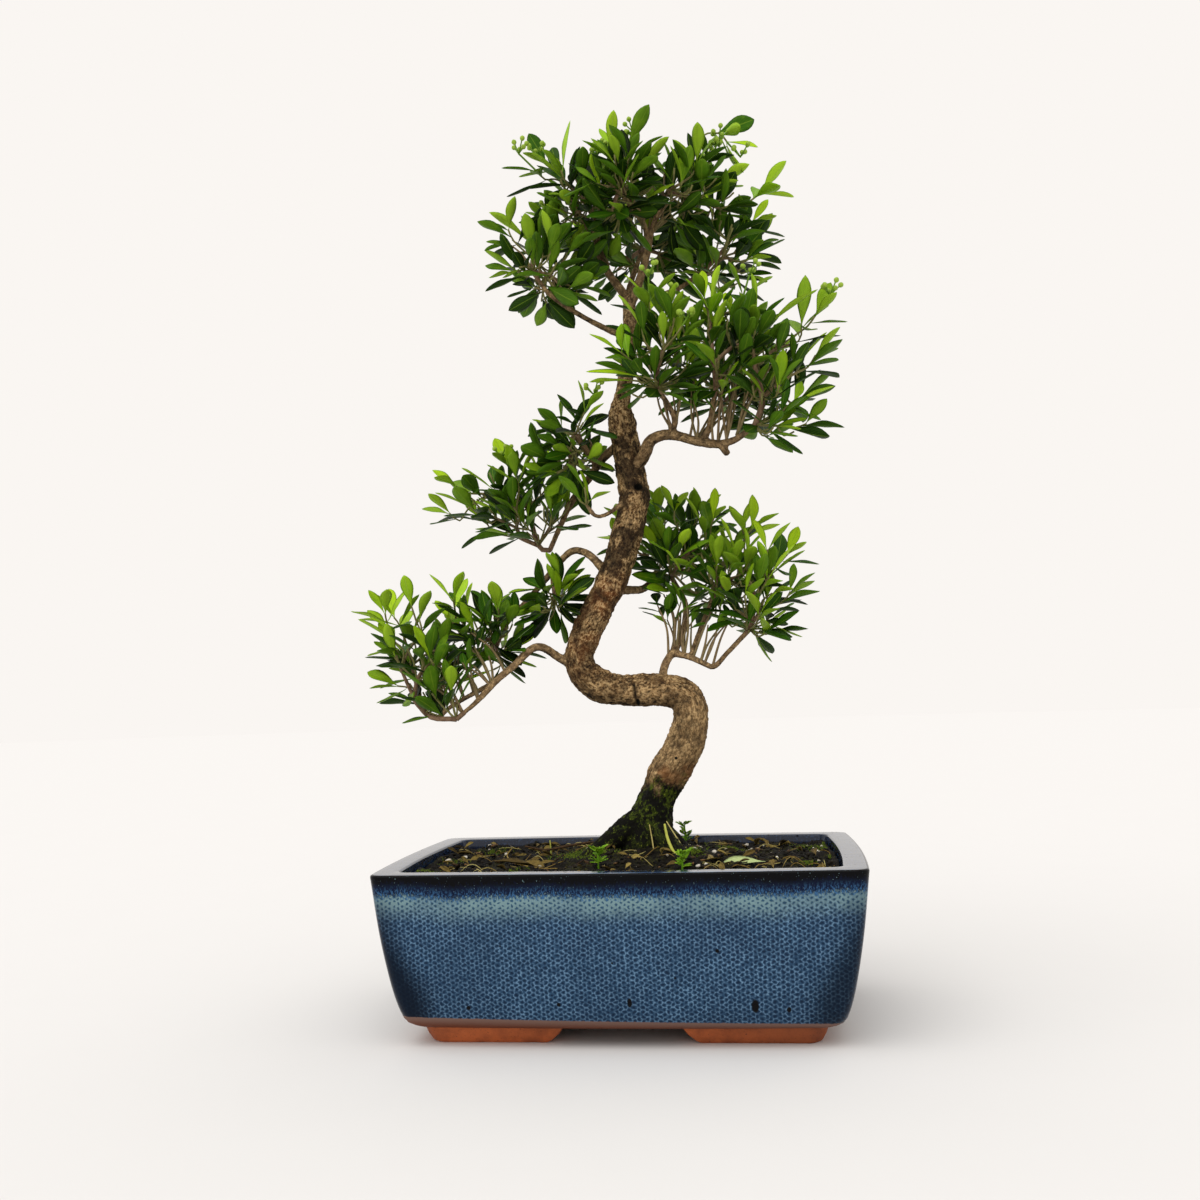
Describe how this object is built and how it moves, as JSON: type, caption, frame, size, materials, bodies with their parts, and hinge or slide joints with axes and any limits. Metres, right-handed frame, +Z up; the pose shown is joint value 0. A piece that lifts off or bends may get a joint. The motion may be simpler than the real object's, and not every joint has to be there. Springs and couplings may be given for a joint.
{
  "type": "potted bonsai tree",
  "caption": "Small brush cherry tree with an S-shaped trunk and pads of leafy sprays, rooted in soil in a low rectangular glazed pot on corner feet.",
  "frame": {"origin": "middle of the bounding box, at the plane the pot's feet stand on", "axes": "+Z up, +X along the pot's long side to the right as seen from the front, -Y towards the front"},
  "size_m": [0.2946, 0.183, 0.5371],
  "materials": {
    "glaze": "glossy mottled blue glaze over brown stoneware",
    "screen": "matte",
    "soil": "coarse damp potting soil",
    "bark": "rough flaking bark",
    "leaf": "glossy leaves on green twigs",
    "new_leaf": "glossy young leaves",
    "bud": "smooth buds",
    "weed": "soft green leaves",
    "dead_leaf": "dry leaves"
  },
  "bodies": {
    "root": {"pot": "glaze", "soil": "soil", "trunk": "bark", "drain_screen_1": "screen", "drain_screen_2": "screen", "spray_crown_low_left": "leaf", "spray_crown_left": "leaf", "new_shoot_1": "new_leaf", "spray_crown_front": "leaf", "new_shoot_2": "new_leaf", "spray_crown_top": "leaf", "new_shoot_3": "new_leaf", "new_shoot_4": "new_leaf", "spray_crown_right": "leaf", "spray_crown_back": "leaf", "spray_upper_right_near": "leaf", "new_shoot_5": "new_leaf", "spray_upper_right_mid": "leaf", "new_shoot_6": "new_leaf", "spray_upper_right_end": "leaf", "new_shoot_7": "new_leaf", "spray_upper_right_back": "leaf", "spray_left_upper": "leaf", "new_shoot_8": "new_leaf", "new_shoot_9": "new_leaf", "spray_left_upper_near": "leaf", "spray_left_twig": "leaf", "spray_left_middle": "leaf", "spray_left_low_middle": "leaf", "new_shoot_10": "new_leaf", "spray_left_low_front": "leaf", "new_shoot_11": "new_leaf", "spray_left_low_back": "leaf", "spray_right_low_up": "leaf", "new_shoot_12": "new_leaf", "spray_right_low_middle": "leaf", "new_shoot_13": "new_leaf", "spray_right_low_end": "leaf", "new_shoot_14": "new_leaf", "spray_back": "leaf", "flower_buds_1": "bud", "flower_buds_2": "bud", "flower_buds_3": "bud", "weed_1": "weed", "weed_2": "weed", "weed_3": "weed", "fallen_leaf_1": "dead_leaf", "fallen_leaf_2": "dead_leaf", "fallen_leaf_3": "dead_leaf", "fallen_leaf_4": "dead_leaf", "fallen_leaf_5": "dead_leaf"}
  },
  "joints": []
}
